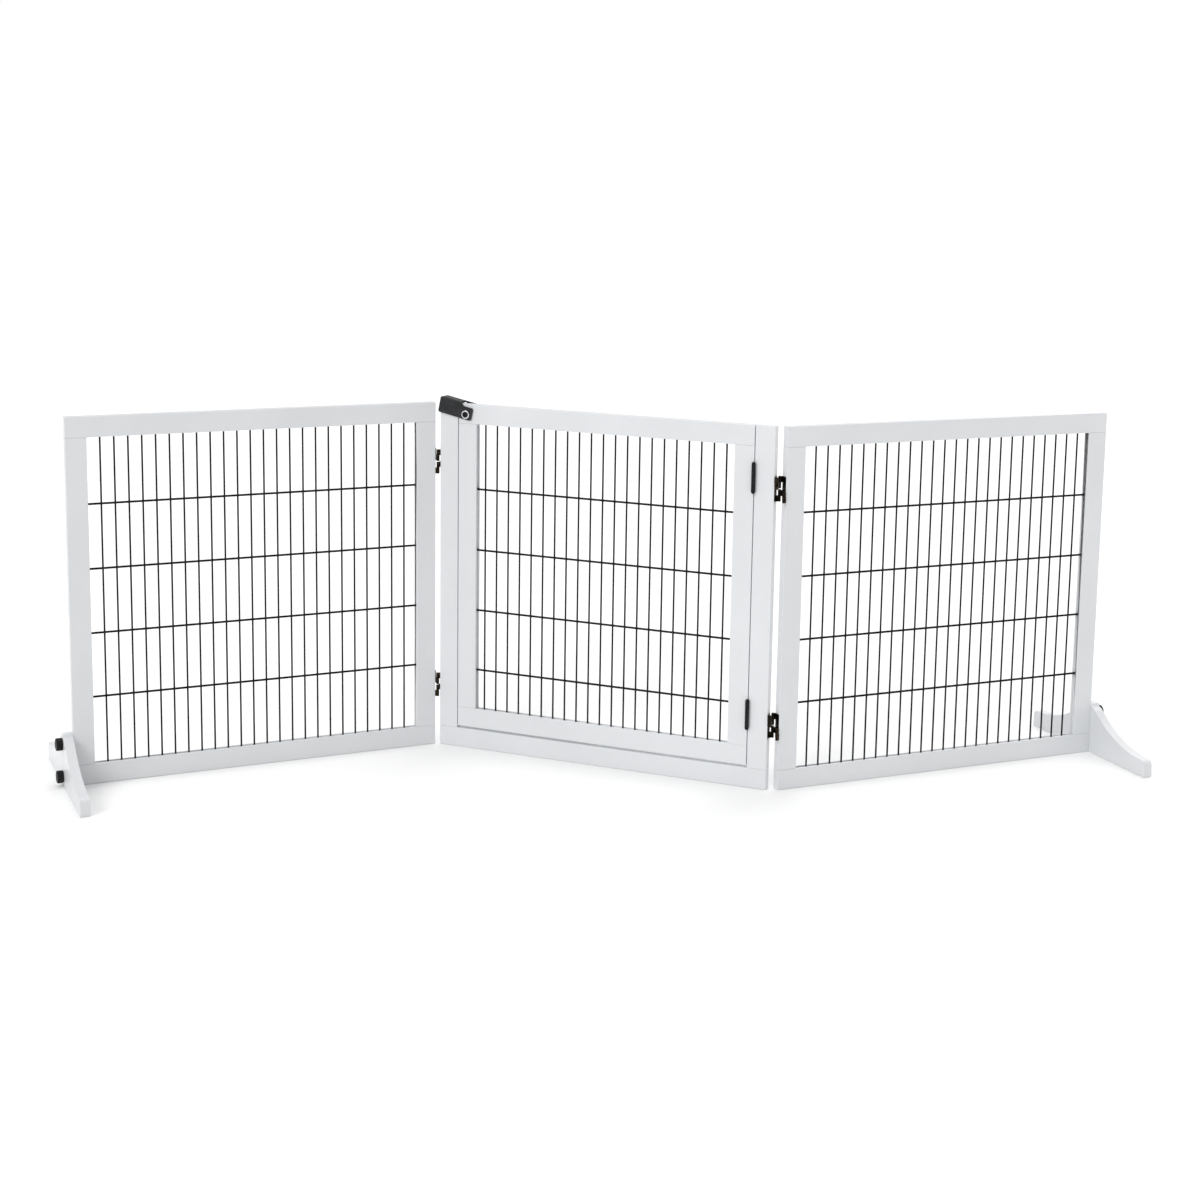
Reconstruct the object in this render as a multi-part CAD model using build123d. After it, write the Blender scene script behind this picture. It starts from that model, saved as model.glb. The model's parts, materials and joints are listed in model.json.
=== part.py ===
from build123d import *
import os
from math import cos, radians, sin, sqrt

# Free-standing three-panel pet gate with a small door in its middle panel. Sizes in millimetres.
# Row frame: origin at the middle of the sill's underside, +Z up, +X along the whole gate,
# +Y from the front of the gate to its back.
# Each panel is drawn in its own frame (x along the panel, y through its thickness with -y the
# front, z up) and then set at its place in the zigzag.

# Driving dimensions: panels
gate_height = 610.0
board_thickness = 15.0
stile_width = 34.0
rail_height = 34.0
outer_width = 622.0
middle_width = 607.0
panel_gap = 8.0

# Stored pose of the zigzag, degrees
middle_yaw = -21.5
left_fold = 46.8
right_fold = 44.8

# Welded wire mesh
upright_wire_diameter = 3.0
level_wire_diameter = 3.6
weld_sink = 0.3
outer_wire_pitch = 22.2
outer_first_row = 145.0
door_wire_pitch = 21.9
door_first_row = 141.0
wire_row_pitch = 107.0
least_row_to_rail = 20.0
groove_side_clearance = 0.25
groove_depth = 4.0
wire_engagement = 3.0

# Frame dowels
dowel_diameter = 6.0
dowel_in_rail = 12.0
dowel_in_stile = 24.0
dowel_spacing = 16.0

# Door
latch_gap = 1.3
hinge_gap = 1.3
door_bottom_gap = 4.0

# Door hinges
door_hinge_low = 126.5
door_hinge_from_top = 86.0
door_hinge_length = 46.0
door_hinge_middle_knuckle = 15.4
door_barrel_diameter = 7.0
door_pin_diameter = 3.0
door_leaf_thickness = 1.2
door_leaf_seat = 0.9
door_leaf_back = 5.0
door_screw_spacing = 16.5

# Two-way fold hinges
fold_hinge_low = 108.0
fold_hinge_from_top = 103.5
fold_hinge_length = 42.0
fold_leaf_width = 12.0
fold_leaf_thickness = 1.6
fold_barrel_diameter = 5.2
fold_pin_diameter = 2.4
fold_axis_proud = 1.0
fold_arm_thickness = 2.2
fold_root_lap = 2.0
fold_root_clearance = 1.5
fold_link_thickness = 2.0
fold_link_height = 9.7
fold_middle_gap = 2.0
fold_screw_from_middle = 10.5

# Hinge screws
screw_diameter = 2.6
screw_length = 14.0
screw_head_diameter = 4.8
screw_head_depth = 1.1

# Latch: a saddle that hangs from the door's top rail and lies over the stile
latch_pivot_from_end = 50.2
latch_pivot_drop = 17.7
latch_bolt_diameter = 6.0
latch_tilt = 11.5
latch_plate_thickness = 3.0
latch_side_clearance = 0.5
latch_left_reach = 52.5
latch_right_reach = 11.0
latch_below_pivot = 8.5
latch_above_pivot = 13.0
latch_web_right = 13.0
latch_web_under = 16.5
latch_web_thickness = 3.0
latch_shoulder = 5.0
latch_rear_left = 11.0
latch_rear_right = 8.0
latch_rear_lap = 17.0
latch_corner_radius = 3.0
latch_ring_diameter = 14.4
latch_ring_thickness = 1.7
latch_head_diameter = 10.6
latch_head_thickness = 0.9
latch_nut_diameter = 11.0
latch_nut_thickness = 2.4

# Feet
foot_length = 330.0
foot_height = 88.0
foot_thickness = 16.0
foot_tip_height = 29.0
foot_tip_radius = 10.0
foot_sweep_radius = 210.0
foot_crown_width = 16.0
foot_shoulder_from_middle = 17.0
foot_crown_bend_out = 0.72
foot_crown_bend_down = 0.3

# Foot knobs
knob_heights = (16.0, 71.0)
knob_diameter = 21.0
knob_length = 10.5
knob_edge_radius = 1.5
stud_diameter = 6.0
stud_in_knob = 8.0
stud_in_stile = 12.0
stud_hole_clearance = 0.4
insert_diameter = 9.0
insert_length = 13.0

# Clearances
running_clearance = 0.05
side_clearance = 0.3

# Values that follow from the dimensions above
mesh_thickness = upright_wire_diameter + level_wire_diameter - weld_sink
groove_width = mesh_thickness + 2 * groove_side_clearance
half_thickness = board_thickness / 2
door_hinge_heights = (door_hinge_low, gate_height - door_hinge_from_top)
fold_hinge_heights = (fold_hinge_low, gate_height - fold_hinge_from_top)
fold_axis_offset = half_thickness + fold_axis_proud
joint_offset = middle_width / 2 + panel_gap / 2
outer_offset = joint_offset + panel_gap / 2 + outer_width / 2
door_left = -middle_width / 2 + stile_width + latch_gap
door_right = middle_width / 2 - stile_width - hinge_gap
door_middle = (door_left + door_right) / 2
door_width = door_right - door_left
door_bottom = rail_height + door_bottom_gap
door_axis_x = door_right + hinge_gap / 2
door_axis_y = -half_thickness - side_clearance - door_barrel_diameter / 2
latch_pivot_x = -middle_width / 2 + latch_pivot_from_end
latch_pivot_z = gate_height - latch_pivot_drop

nodes = {}


def block(x0, x1, y0, y1, z0, z1):
    """A box between two corners, given in any order."""
    centre = Pos((x0 + x1) / 2, (y0 + y1) / 2, (z0 + z1) / 2)
    return centre * Box(abs(x1 - x0), abs(y1 - y0), abs(z1 - z0))


def rod_x(radius, x0, x1, y, z):
    """A round rod along x."""
    return Pos((x0 + x1) / 2, y, z) * Rot(0, 90, 0) * Cylinder(radius, abs(x1 - x0))


def rod_y(radius, x, y0, y1, z):
    """A round rod along y."""
    return Pos(x, (y0 + y1) / 2, z) * Rot(90, 0, 0) * Cylinder(radius, abs(y1 - y0))


def rod_z(radius, x, y, z0, z1):
    """A round rod along z."""
    return Pos(x, y, (z0 + z1) / 2) * Cylinder(radius, abs(z1 - z0))


def turned_about(x, y, angle):
    """A turn of angle degrees about the vertical line through x, y."""
    return Pos(x, y, 0) * Rot(0, 0, angle) * Pos(-x, -y, 0)


def keep(name, place, *solids):
    """Store a node's solids at their place in the row frame."""
    nodes[name] = [place * solid for solid in solids]


# Places of the bodies in the row frame
middle_place = Rot(0, 0, middle_yaw)
left_turn = turned_about(-joint_offset, -fold_axis_offset, left_fold)
right_turn = turned_about(joint_offset, fold_axis_offset, right_fold)
left_place = middle_place * left_turn * Pos(-outer_offset, 0, 0)
right_place = middle_place * right_turn * Pos(outer_offset, 0, 0)


def screw_x(x, y, z, into):
    """A countersunk screw whose flat head lies at x and whose shank runs along into (+1 or -1)."""
    head = Pos(x + into * screw_head_depth / 2, y, z) * Rot(0, 90 * into, 0) * Cone(
        screw_head_diameter / 2, screw_diameter / 2, screw_head_depth
    )
    return head + rod_x(screw_diameter / 2, x + into * screw_head_depth, x + into * screw_length, y, z)


def dowels_of(stile_centres, joint_height, up):
    """Pairs of dowels across a joint; up is +1 where the stile stands above the rail."""
    low = joint_height - up * dowel_in_rail
    high = joint_height + up * dowel_in_stile
    return [
        rod_z(dowel_diameter / 2, centre + side * dowel_spacing / 2, 0, low, high)
        for centre in stile_centres
        for side in (-1, 1)
    ]


def wire_mesh(middle, half_opening, bottom, top, pitch, first_row):
    """Upright wires in front, level wires behind them, welded where they cross. There are as many
    of each as the opening holds at their pitch."""
    count = int(2 * half_opening / pitch)
    rows = 1 + int((top - least_row_to_rail - first_row) / wire_row_pitch)
    upright_radius = upright_wire_diameter / 2
    level_radius = level_wire_diameter / 2
    uprights = [
        rod_z(
            upright_radius,
            middle + (i - (count - 1) / 2) * pitch,
            upright_radius - mesh_thickness / 2,
            bottom - wire_engagement,
            top + wire_engagement,
        )
        for i in range(count)
    ]
    reach = half_opening + wire_engagement
    level_y = mesh_thickness / 2 - level_radius
    levels = [
        rod_x(level_radius, middle - reach, middle + reach, level_y, first_row + j * wire_row_pitch)
        for j in range(rows)
    ]
    return uprights[0].fuse(*uprights[1:], *levels)


def level_groove(x0, x1, edge, into):
    """The slot along a rail's edge that takes the mesh; into points into the wood."""
    return block(x0, x1, -groove_width / 2, groove_width / 2, edge, edge + into * groove_depth)


def upright_groove(edge, into, z0, z1):
    """The slot along a stile's edge that takes the mesh."""
    return block(edge, edge + into * groove_depth, -groove_width / 2, groove_width / 2, z0, z1)


def leaf_pockets(end, into):
    """Shallow seats and screw holes for the two fold-hinge leaves in a stile's end face."""
    cuts = []
    for height in fold_hinge_heights:
        half = fold_hinge_length / 2
        depth = end + into * fold_leaf_thickness
        cuts.append(
            block(end, depth, -fold_leaf_width / 2, fold_leaf_width / 2, height - half, height + half)
        )
        cuts += fold_screws(end, into, height)
    return cuts


def fold_screws(end, into, height):
    """The two screws of one fold-hinge leaf."""
    return [screw_x(end, 0, height + side * fold_screw_from_middle, into) for side in (-1, 1)]


def frame_of_four(name, place, left, right, bottom, top, stile_names):
    """Two rails over the full width with two stiles between them. Returns the wood to be cut."""
    width = right - left
    inner_left = left + stile_width
    inner_right = right - stile_width
    low_joint = bottom + rail_height
    high_joint = top - rail_height
    centres = (left + stile_width / 2, right - stile_width / 2)
    low_dowels = dowels_of(centres, low_joint, 1)
    high_dowels = dowels_of(centres, high_joint, -1)
    y0 = -half_thickness
    y1 = half_thickness
    wood = {
        "top_rail": block(left, right, y0, y1, high_joint, top)
        - level_groove(inner_left, inner_right, high_joint, 1)
        - high_dowels,
        "bottom_rail": block(left, right, y0, y1, bottom, low_joint)
        - level_groove(inner_left, inner_right, low_joint, -1)
        - low_dowels,
        stile_names[0]: block(left, inner_left, y0, y1, low_joint, high_joint)
        - upright_groove(inner_left, -1, low_joint, high_joint)
        - low_dowels
        - high_dowels,
        stile_names[1]: block(inner_right, right, y0, y1, low_joint, high_joint)
        - upright_groove(inner_right, 1, low_joint, high_joint)
        - low_dowels
        - high_dowels,
    }
    keep(f"{name}_dowels", place, *low_dowels, *high_dowels)
    return wood, width / 2 - stile_width, low_joint, high_joint


def foot_outline():
    """Side view of a foot: flat base, low rounded toes, concave sweeps up to a narrow crown."""
    half = foot_length / 2
    sweep_start = half - foot_tip_radius
    centre_z = foot_tip_height + foot_sweep_radius
    shoulder = foot_shoulder_from_middle
    shoulder_z = centre_z - sqrt(foot_sweep_radius**2 - (sweep_start - shoulder) ** 2)
    bow = (sweep_start + shoulder) / 2
    bow_z = centre_z - sqrt(foot_sweep_radius**2 - (sweep_start - bow) ** 2)
    crown = foot_crown_width / 2
    round_start = foot_tip_height - foot_tip_radius
    slant = foot_tip_radius * cos(radians(45))
    crown_bend = (
        crown + foot_crown_bend_out * (shoulder - crown),
        foot_height - foot_crown_bend_down * (foot_height - shoulder_z),
    )
    curves = Line((-half, 0), (half, 0))
    curves += Line((-crown, foot_height), (crown, foot_height))
    for side in (-1, 1):
        curves += Line((side * half, 0), (side * half, round_start))
        curves += ThreePointArc(
            (side * half, round_start),
            (side * (sweep_start + slant), round_start + slant),
            (side * sweep_start, foot_tip_height),
        )
        curves += ThreePointArc(
            (side * sweep_start, foot_tip_height), (side * bow, bow_z), (side * shoulder, shoulder_z)
        )
        curves += ThreePointArc(
            (side * shoulder, shoulder_z),
            (side * crown_bend[0], crown_bend[1]),
            (side * crown, foot_height),
        )
    return make_face(curves)


def make_foot(name, place, end, out):
    """The foot board, its two threaded inserts and its two knobs on a panel's outer end."""
    outer_face = end + out * foot_thickness
    board = extrude(Plane.YZ * foot_outline(), foot_thickness)
    board = Pos(min(end, outer_face), 0, 0) * board
    knob_face = outer_face + out * side_clearance
    inserts = []
    for label, height in zip(("lower", "upper"), knob_heights):
        hole_radius = stud_diameter / 2 + stud_hole_clearance
        board -= rod_x(hole_radius, end, outer_face, 0, height)
        stud = rod_x(
            stud_diameter / 2,
            knob_face + out * stud_in_knob,
            end - out * stud_in_stile,
            0,
            height,
        )
        tip = knob_face + out * knob_length
        head = rod_x(knob_diameter / 2, knob_face, tip, 0, height)
        head = fillet(head.edges().filter_by(GeomType.CIRCLE), knob_edge_radius)
        inserts.append(
            rod_x(insert_diameter / 2, end, end - out * insert_length, 0, height)
            - rod_x(stud_diameter / 2 + running_clearance, end, end - out * insert_length, 0, height)
        )
        keep(f"{name}_{label}_knob", place, head - stud)
        keep(f"{name}_{label}_knob_stud", place, stud)
    keep(f"{name}_foot", place, board)
    keep(f"{name}_foot_inserts", place, *inserts)
    return [rod_x(insert_diameter / 2, end, end - out * insert_length, 0, h) for h in knob_heights]


def make_outer_panel(name, place, out):
    """A plain wire panel with a foot at its outer end; out is -1 on the left and +1 on the right."""
    half = outer_width / 2
    order = ("end_stile", "joint_stile") if out < 0 else ("joint_stile", "end_stile")
    wood, half_opening, low, high = frame_of_four(
        name, place, -half, half, 0.0, gate_height, order
    )
    insert_seats = make_foot(name, place, out * half, out)
    wood["joint_stile"] -= leaf_pockets(-out * half, out)
    wood["end_stile"] -= insert_seats
    wood["bottom_rail"] -= insert_seats
    for piece, solid in wood.items():
        keep(f"{name}_{piece}", place, solid)
    mesh = wire_mesh(0, half_opening, low, high, outer_wire_pitch, outer_first_row)
    keep(f"{name}_wire_mesh", place, mesh)


def make_middle_frame():
    """Two stiles on a sill, open at the top, with seats for both pairs of fold hinges."""
    half = middle_width / 2
    centres = (-half + stile_width / 2, half - stile_width / 2)
    dowels = dowels_of(centres, rail_height, 1)
    y0 = -half_thickness
    y1 = half_thickness
    sill = block(-half, half, y0, y1, 0, rail_height) - dowels
    latch_stile = block(-half, -half + stile_width, y0, y1, rail_height, gate_height)
    hinge_stile = block(half - stile_width, half, y0, y1, rail_height, gate_height)
    keep("middle_sill", middle_place, sill)
    keep("middle_latch_stile", middle_place, latch_stile - dowels - leaf_pockets(-half, 1))
    hinge_stile = hinge_stile - dowels - leaf_pockets(half, -1)
    hinge_stile -= door_leaf_seats(half - stile_width, 1)
    hinge_stile -= door_hinge_screws(half - stile_width, 1)
    keep("middle_hinge_stile", middle_place, hinge_stile)
    keep("middle_dowels", middle_place, *dowels)


def door_hinge_screws(face, into):
    """The screws of both door hinges in one edge face, heads flush in the leaves."""
    head = face - into * (door_leaf_thickness - door_leaf_seat)
    y = (door_leaf_back - half_thickness) / 2
    return [
        screw_x(head, y, height + side * door_screw_spacing, into)
        for height in door_hinge_heights
        for side in (-1, 0, 1)
    ]


def door_leaf_seats(face, into):
    """Shallow seats for both door hinges' leaves in one edge face."""
    half = door_hinge_length / 2
    return [
        block(
            face,
            face + into * door_leaf_seat,
            -half_thickness,
            door_leaf_back,
            height - half,
            height + half,
        )
        for height in door_hinge_heights
    ]


def door_leaf(face, out, height, knuckles, bore_radius):
    """One leaf of a door hinge: a plate on the edge face and its knuckles on the pin's line."""
    half = door_hinge_length / 2
    radius = door_barrel_diameter / 2
    plate_front = door_axis_y + radius + side_clearance
    back_face = face - out * door_leaf_seat
    plate_face = back_face + out * door_leaf_thickness
    leaf = block(back_face, plate_face, plate_front, door_leaf_back, height - half, height + half)
    for z0, z1 in knuckles:
        leaf += block(back_face, plate_face, door_axis_y, plate_front, height + z0, height + z1)
        leaf += rod_z(radius, door_axis_x, door_axis_y, height + z0, height + z1)
    return leaf - rod_z(bore_radius, door_axis_x, door_axis_y, height - half, height + half)


def make_door_hinges():
    """Two butt hinges whose barrels stand in front of the door's right-hand gap."""
    half = door_hinge_length / 2
    middle = door_hinge_middle_knuckle / 2
    outer_knuckles = (
        (-half, -middle - side_clearance),
        (middle + side_clearance, half),
    )
    frame_face = door_axis_x + hinge_gap / 2
    pin_radius = door_pin_diameter / 2
    barrel_radius = door_barrel_diameter / 2
    frame_leaves = []
    door_leaves = []
    pins = []
    frame_screws = door_hinge_screws(frame_face, 1)
    door_screws = door_hinge_screws(door_right, -1)
    for height in door_hinge_heights:
        frame_leaves.append(
            door_leaf(frame_face, -1, height, outer_knuckles, pin_radius) - frame_screws
        )
        door_leaves.append(
            door_leaf(door_right, 1, height, ((-middle, middle),), pin_radius + running_clearance)
            - door_screws
        )
        pin = rod_z(pin_radius, door_axis_x, door_axis_y, height - half, height + half)
        for side in (-1, 1):
            end = Pos(door_axis_x, door_axis_y, height + side * half)
            half_ball = Sphere(barrel_radius).split(Plane.XY, Keep.TOP if side > 0 else Keep.BOTTOM)
            pin += end * half_ball
        pins.append(pin)
    keep("door_hinge_frame_leaves", middle_place, *frame_leaves)
    keep("door_hinge_door_leaves", middle_place, *door_leaves)
    keep("door_hinge_pins", middle_place, *pins)
    keep("door_hinge_frame_screws", middle_place, *frame_screws)
    keep("door_hinge_door_screws", middle_place, *door_screws)


def make_door():
    """The door: four boards around a wire mesh, bored for the latch bolt."""
    wood, half_opening, low, high = frame_of_four(
        "door", middle_place, door_left, door_right, door_bottom, gate_height,
        ("latch_stile", "hinge_stile"),
    )
    wood["hinge_stile"] -= door_leaf_seats(door_right, -1)
    wood["hinge_stile"] -= door_hinge_screws(door_right, -1)
    wood["top_rail"] -= latch_rod(latch_bolt_diameter / 2, -half_thickness, half_thickness)
    for piece, solid in wood.items():
        keep(f"door_{piece}", middle_place, solid)
    mesh = wire_mesh(door_middle, half_opening, low, high, door_wire_pitch, door_first_row)
    keep("door_wire_mesh", middle_place, mesh)


def latch_rod(radius, y0, y1):
    """A round rod on the latch's pivot line."""
    return rod_y(radius, latch_pivot_x, y0, y1, latch_pivot_z)


def latch_point(along, up):
    """A point of the latch's side view, from its pivot along the latch and up across it."""
    tilt = radians(latch_tilt)
    return (
        latch_pivot_x + along * cos(tilt) + up * sin(tilt),
        latch_pivot_z - along * sin(tilt) + up * cos(tilt),
    )


def latch_plate(outline, y_front, y_back):
    """A plate of the latch between two depths, from its outline about the pivot."""
    corners = [latch_point(along, up) for along, up in outline]
    face = Plane.XZ.offset(-y_back) * make_face(Polyline(*corners, close=True))
    return extrude(face, y_back - y_front)


def make_latch():
    """The saddle latch with its pivot bolt, front ring and rear nut."""
    inner = half_thickness + latch_side_clearance
    outer = inner + latch_plate_thickness
    left = -latch_left_reach
    right = latch_right_reach
    bottom = -latch_below_pivot
    web_right = -latch_web_right
    web_top = latch_web_under + latch_web_thickness
    rear_left = -latch_rear_left
    front_outline = (
        (left, web_top),
        (web_right, web_top),
        (web_right + latch_shoulder, latch_above_pivot),
        (right, latch_above_pivot),
        (right, bottom),
        (left, bottom),
    )
    front = latch_plate(front_outline, -outer, -inner)
    front = fillet(front.edges().filter_by(Axis.Y), latch_corner_radius)
    web_outline = (
        (left + latch_corner_radius, web_top),
        (web_right, web_top),
        (web_right, latch_web_under),
        (left + latch_corner_radius, latch_web_under),
    )
    web = latch_plate(web_outline, -outer, outer)
    rear_outline = (
        (rear_left - latch_rear_lap, web_top),
        (latch_rear_right, web_top),
        (latch_rear_right, bottom),
        (rear_left, bottom),
        (rear_left, latch_web_under),
        (rear_left - latch_rear_lap, latch_web_under),
    )
    rear = latch_plate(rear_outline, inner, outer)
    bolt_radius = latch_bolt_diameter / 2
    saddle = front + web + rear
    saddle -= latch_rod(bolt_radius + running_clearance, -outer, outer)
    keep("latch_saddle", middle_place, saddle)
    ring_back = -outer - side_clearance
    ring_front = ring_back - latch_ring_thickness
    nut_front = outer + side_clearance
    nut_back = nut_front + latch_nut_thickness
    bolt = latch_rod(bolt_radius, ring_front, nut_back)
    bolt += latch_rod(latch_head_diameter / 2, ring_front - latch_head_thickness, ring_front)
    ring = latch_rod(latch_ring_diameter / 2, ring_front, ring_back) - bolt
    nut = latch_rod(latch_nut_diameter / 2, nut_front, nut_back) - bolt
    keep("latch_bolt", middle_place, bolt)
    keep("latch_ring", middle_place, ring)
    keep("latch_nut", middle_place, nut)


def fold_knuckle(side, face_side, upper, height):
    """A leaf's knuckle with its arm. side is -1 for the front axis and +1 for the back one,
    face_side is +1 where the leaf's stile stands on the +x side of the joint, upper is +1 or -1."""
    radius = fold_barrel_diameter / 2
    near = fold_middle_gap / 2 + fold_link_height + side_clearance
    z0 = height + upper * near
    z1 = height + upper * fold_hinge_length / 2
    face = face_side * panel_gap / 2
    y = side * fold_axis_offset
    barrel = rod_z(radius, 0, y, z0, z1)
    arm = block(0, face, y, side * (fold_axis_offset - fold_arm_thickness), z0, z1)
    root_end = side * (fold_leaf_width / 2 - fold_root_lap)
    root = block(face_side * fold_root_clearance, face, y, root_end, z0, z1)
    return barrel + arm + root - rod_z(fold_pin_diameter / 2, 0, y, z0, z1)


def fold_leaf(face_side, height, upper_side):
    """A hinge leaf let into a stile's end face, with one knuckle above and one below."""
    face = face_side * panel_gap / 2
    half = fold_hinge_length / 2
    width = fold_leaf_width / 2
    back = face + face_side * fold_leaf_thickness
    leaf = block(face, back, -width, width, height - half, height + half)
    leaf += fold_knuckle(upper_side, face_side, 1, height)
    leaf += fold_knuckle(-upper_side, face_side, -1, height)
    return leaf - fold_screws(face, face_side, height)


def fold_link(upper, height):
    """A link plate with a barrel on each pin line; upper is +1 or -1."""
    z0 = height + upper * fold_middle_gap / 2
    z1 = z0 + upper * fold_link_height
    y = fold_axis_offset
    link = block(-fold_link_thickness / 2, fold_link_thickness / 2, -y, y, z0, z1)
    for side in (-1, 1):
        link += rod_z(fold_barrel_diameter / 2, 0, side * y, z0, z1)
    for side in (-1, 1):
        link -= rod_z(fold_pin_diameter / 2 + running_clearance, 0, side * y, z0, z1)
    return link


def fold_pin(side, upper, height):
    """A hinge pin through a knuckle and the link beside it."""
    near = fold_middle_gap / 2 + side_clearance
    far = fold_hinge_length / 2 - side_clearance
    y = side * fold_axis_offset
    return rod_z(fold_pin_diameter / 2, 0, y, height + upper * near, height + upper * far)


def make_fold_hinges(name, joint_side, panel_turn):
    """Both two-way hinges between the middle frame and one outer panel.

    joint_side is -1 for the left joint and +1 for the right one. Above its middle a hinge joins
    the frame's front knuckle to the panel's back knuckle, and below it the other way round.
    panel_turn is the panel's stored fold. The left joint is folded about its front axis, which
    turns its upper links with the panel, and the right one about its back axis, which turns its
    lower links."""
    at_joint = middle_place * Pos(joint_side * joint_offset, 0, 0)
    turned = middle_place * panel_turn * Pos(joint_side * joint_offset, 0, 0)
    frame_side = -joint_side
    panel_side = joint_side
    heights = fold_hinge_heights
    frame_face = frame_side * panel_gap / 2
    panel_face = panel_side * panel_gap / 2
    keep(f"{name}_fold_frame_leaves", at_joint, *[fold_leaf(frame_side, h, -1) for h in heights])
    keep(f"{name}_fold_panel_leaves", turned, *[fold_leaf(panel_side, h, 1) for h in heights])
    upper_place = turned if name == "left" else at_joint
    lower_place = at_joint if name == "left" else turned
    keep(f"{name}_fold_upper_links", upper_place, *[fold_link(1, h) for h in heights])
    keep(f"{name}_fold_lower_links", lower_place, *[fold_link(-1, h) for h in heights])
    frame_pins = []
    panel_pins = []
    for height in heights:
        frame_pins.append(fold_pin(-1, 1, height))
        frame_pins.append(fold_pin(1, -1, height))
        panel_pins.append(fold_pin(1, 1, height))
        panel_pins.append(fold_pin(-1, -1, height))
    keep(f"{name}_fold_frame_pins", at_joint, *frame_pins)
    keep(f"{name}_fold_panel_pins", turned, *panel_pins)
    frame_screws = [s for h in heights for s in fold_screws(frame_face, frame_side, h)]
    panel_screws = [s for h in heights for s in fold_screws(panel_face, panel_side, h)]
    keep(f"{name}_fold_frame_screws", at_joint, *frame_screws)
    keep(f"{name}_fold_panel_screws", turned, *panel_screws)


make_outer_panel("left", left_place, -1)
make_outer_panel("right", right_place, 1)
make_middle_frame()
make_door()
make_door_hinges()
make_latch()
make_fold_hinges("left", -1, left_turn)
make_fold_hinges("right", 1, right_turn)

os.makedirs("parts", exist_ok=True)
for name, solids in nodes.items():
    shape = solids[0] if len(solids) == 1 else Compound(children=solids)
    export_step(shape, f"parts/{name}.step")
print(len(nodes), "nodes")
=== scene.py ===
import json
from math import atan2, cos, pi, radians, sin, sqrt

import bpy
from mathutils import Matrix, Vector


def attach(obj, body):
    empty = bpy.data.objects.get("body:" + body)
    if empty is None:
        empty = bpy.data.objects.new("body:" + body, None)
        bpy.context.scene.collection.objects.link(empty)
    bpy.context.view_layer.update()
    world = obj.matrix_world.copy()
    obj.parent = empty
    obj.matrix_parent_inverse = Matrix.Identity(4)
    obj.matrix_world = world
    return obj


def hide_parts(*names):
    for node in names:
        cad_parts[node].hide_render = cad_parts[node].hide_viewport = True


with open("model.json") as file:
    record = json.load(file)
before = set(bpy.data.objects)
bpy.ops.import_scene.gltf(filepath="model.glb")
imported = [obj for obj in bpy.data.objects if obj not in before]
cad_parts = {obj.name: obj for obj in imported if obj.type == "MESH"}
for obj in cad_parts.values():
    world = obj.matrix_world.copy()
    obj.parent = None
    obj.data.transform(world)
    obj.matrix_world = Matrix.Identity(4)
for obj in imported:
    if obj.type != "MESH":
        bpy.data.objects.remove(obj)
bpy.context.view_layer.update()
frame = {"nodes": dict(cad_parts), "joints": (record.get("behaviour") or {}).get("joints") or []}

bl_info = {
    "name": "Folding Pet Gate",
    "version": (1, 0, 0),
    "blender": (4, 5, 0),
    "location": "View3D > Sidebar > Pet Gate",
    "description": "Models a three-panel folding pet gate with a latched door around its fixed frame",
    "category": "Object",
}

MM = 0.001
X = Vector((1, 0, 0))
Y = Vector((0, 1, 0))
Z = Vector((0, 0, 1))

CUT_SPARE = 1 * MM
MERGE_REACH = 0.002 * MM
ON_BOUND = 0.01 * MM
FLAT_ANGLE = radians(0.5)
LEVEL_ANGLE = radians(1)
SAME_WAY = 0.99
SMOOTH_TURN = 0.9

joints = {joint["name"]: joint for joint in frame["joints"]}


# Places of the three panels, from the frame


def node_points(node, place):
    """A CAD node's vertices in the frame that place stands for."""
    back = place.inverted()
    return [back @ vertex.co for vertex in frame["nodes"][node].data.vertices]


def local_box(node, place):
    """Lowest and highest corner of a CAD node in a panel's own frame."""
    points = node_points(node, place)
    low = Vector([min(point[axis] for point in points) for axis in range(3)])
    high = Vector([max(point[axis] for point in points) for axis in range(3)])
    return low, high


def upright_place(x_axis, origin):
    """A place that stands upright at origin, with its x axis along x_axis."""
    return Matrix.Translation(origin) @ Matrix.Rotation(atan2(x_axis[1], x_axis[0]), 4, "Z")


def middle_place():
    """The middle panel's frame: its y axis is the latch's pivot line."""
    across = Vector(joints["latch_turn"]["axis"])
    return upright_place(Vector((across.y, -across.x, 0)), Vector())


def outer_place(side):
    """An outer panel's frame, centred between its ends on its bottom rail."""
    along = Vector(joints[f"{side}_upper_knob_turn"]["axis"])
    turned = upright_place(along, Vector())
    low, high = local_box(f"{side}_bottom_rail", turned)
    middle = (low + high) / 2
    return turned @ Matrix.Translation((middle.x, middle.y, 0))


MIDDLE = middle_place()
LEFT = outer_place("left")
RIGHT = outer_place("right")
PLACES = {"left": LEFT, "right": RIGHT, "middle": MIDDLE, "door": MIDDLE}
BODIES = {
    "left": "left_panel",
    "right": "right_panel",
    "middle": "middle_frame",
    "door": "door",
}
OUTER_STILES = {"left": ("end_stile", "joint_stile"), "right": ("joint_stile", "end_stile")}


# Modelling steps


def deselect():
    """Nothing selected and nothing being edited."""
    if bpy.context.object and bpy.context.object.mode != "OBJECT":
        bpy.ops.object.mode_set(mode="OBJECT")
    bpy.ops.object.select_all(action="DESELECT")


def pick(piece):
    """Select and activate one piece alone."""
    deselect()
    piece.select_set(True)
    bpy.context.view_layer.objects.active = piece


def settle(piece):
    """Put a piece's location, turn and scale into its mesh."""
    pick(piece)
    bpy.ops.object.transform_apply(location=True, rotation=True, scale=True)
    return piece


def add_block(low, high):
    """A box between two corners."""
    deselect()
    bpy.ops.mesh.primitive_cube_add(size=1, location=(low + high) / 2, scale=high - low)
    return settle(bpy.context.object)


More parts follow.
